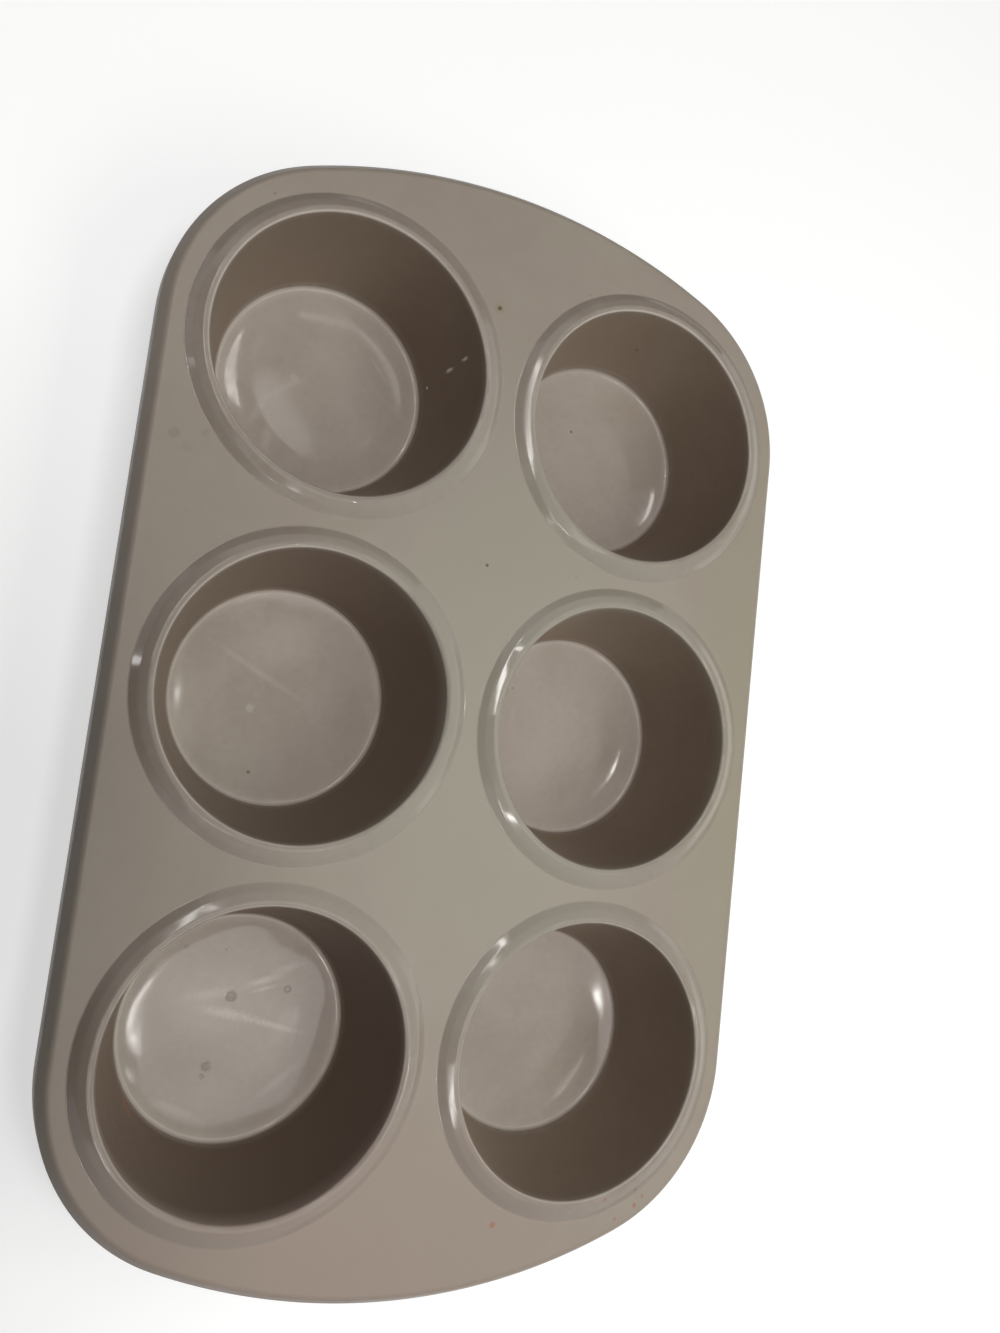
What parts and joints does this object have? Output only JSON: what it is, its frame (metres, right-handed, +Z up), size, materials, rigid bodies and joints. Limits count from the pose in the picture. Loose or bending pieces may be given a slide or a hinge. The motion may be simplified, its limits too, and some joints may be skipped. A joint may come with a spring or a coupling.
{
  "type": "silicone muffin pan",
  "caption": "Silicone muffin pan: flat deck with bowed ends and a turned-down rim, tapered round cups with raised beads, and cup floors that push up to free a bake.",
  "frame": {"origin": "on the table under the middle of the pan", "axes": "+Y along the pan, over its rows of cups; +X across it; +Z up, out of the cups"},
  "size_m": [0.182, 0.2894, 0.0366],
  "materials": {
    "satin_silicone": "satin taupe silicone, finely matt from the mould",
    "gloss_silicone": "glossy taupe silicone, polished mould surface",
    "steel_wire": "plain drawn steel wire"
  },
  "bodies": {
    "pan": {"top_deck": "satin_silicone", "rim_wire": "steel_wire", "cup_1": "gloss_silicone", "cup_2": "gloss_silicone", "cup_3": "gloss_silicone", "cup_4": "gloss_silicone", "cup_5": "gloss_silicone", "cup_6": "gloss_silicone"},
    "floor_1": {"cup_floor_1": "gloss_silicone"},
    "floor_2": {"cup_floor_2": "gloss_silicone"},
    "floor_3": {"cup_floor_3": "gloss_silicone"},
    "floor_4": {"cup_floor_4": "gloss_silicone"},
    "floor_5": {"cup_floor_5": "gloss_silicone"},
    "floor_6": {"cup_floor_6": "gloss_silicone"}
  },
  "joints": [
    {"name": "floor_1_push", "type": "slide", "parent": "pan", "child": "floor_1", "axis": [0, 0, 1], "range_m": [0, 0.015], "stiffness_N_per_m": 800},
    {"name": "floor_2_push", "type": "slide", "parent": "pan", "child": "floor_2", "axis": [0, 0, 1], "range_m": [0, 0.015], "stiffness_N_per_m": 800},
    {"name": "floor_3_push", "type": "slide", "parent": "pan", "child": "floor_3", "axis": [0, 0, 1], "range_m": [0, 0.015], "stiffness_N_per_m": 800},
    {"name": "floor_4_push", "type": "slide", "parent": "pan", "child": "floor_4", "axis": [0, 0, 1], "range_m": [0, 0.015], "stiffness_N_per_m": 800},
    {"name": "floor_5_push", "type": "slide", "parent": "pan", "child": "floor_5", "axis": [0, 0, 1], "range_m": [0, 0.015], "stiffness_N_per_m": 800},
    {"name": "floor_6_push", "type": "slide", "parent": "pan", "child": "floor_6", "axis": [0, 0, 1], "range_m": [0, 0.015], "stiffness_N_per_m": 800}
  ]
}
